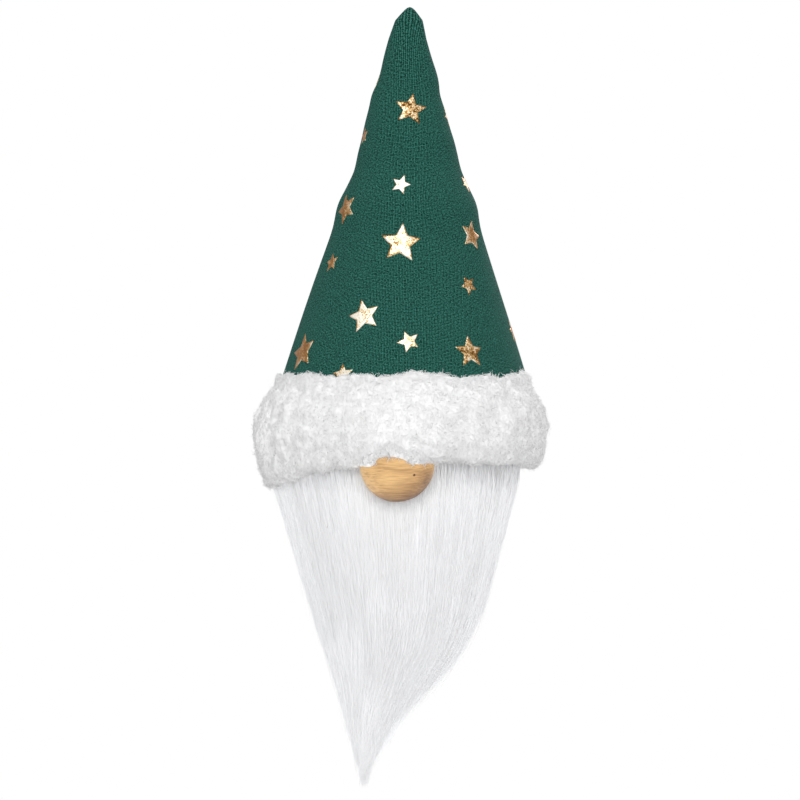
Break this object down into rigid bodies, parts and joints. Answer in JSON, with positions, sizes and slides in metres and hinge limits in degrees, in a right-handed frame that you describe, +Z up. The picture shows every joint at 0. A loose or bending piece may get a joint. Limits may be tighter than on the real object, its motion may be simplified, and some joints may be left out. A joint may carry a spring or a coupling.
{
  "type": "gnome bottle topper",
  "caption": "Gnome topper: tall star-printed cloth hat with a bending tip, curly fleece brim, wooden ball nose and a long hinged fur beard.",
  "frame": {"origin": "centre of the hat's round mouth, at the lower edge of its card ring", "axes": "+Z up through the hat's tip, front (nose and beard) towards -Y"},
  "size_m": [0.121, 0.1285, 0.3181],
  "materials": {
    "hat_cotton": "matte plain-weave cotton",
    "foil_print": "mottled hot foil, semi-gloss",
    "green_thread": "matte sewing thread",
    "white_thread": "matte sewing thread",
    "stiffener_felt": "matte needle felt",
    "stuffing": "fluffy polyester fibre",
    "brim_sherpa": "curly plush pile",
    "ring_card": "plain greyboard",
    "beard_knit": "knit fur backing",
    "beard_fur": "long straight faux fur",
    "nose_wood": "sanded, unlacquered",
    "craft_glue": "cured hot-melt glue"
  },
  "bodies": {
    "hat": {"hat_cloth": "hat_cotton", "hat_fold_band": "hat_cotton", "foil_stars": "foil_print", "seam_thread": "green_thread", "stiffener_cone": "stiffener_felt", "stuffing_plug": "stuffing", "brim_fleece": "brim_sherpa", "brim_wadding": "stuffing", "brim_ring": "ring_card", "rear_glue_bead": "craft_glue", "brim_join_thread": "white_thread", "beard_tape": "beard_knit", "beard_root_pile": "beard_fur", "nose_ball": "nose_wood", "nose_glue": "craft_glue"},
    "hat_tip": {"hat_tip_cloth": "hat_cotton", "tip_stars": "foil_print", "tip_stuffing": "stuffing"},
    "beard": {"beard_backing": "beard_knit", "beard_pile": "beard_fur"}
  },
  "joints": [
    {"name": "beard_lift", "type": "hinge", "parent": "hat", "child": "beard", "pos_m": [0, -0.055, -0.011], "axis": [-1, 0, 0], "range_deg": [0, 75]},
    {"name": "tip_bend", "type": "hinge", "parent": "hat", "child": "hat_tip", "pos_m": [0, 0, 0.13], "axis": [0, 1, 0], "range_deg": [-25, 25], "stiffness_Nm_per_rad": 0.03, "deforming": ["hat_fold_band"]}
  ]
}
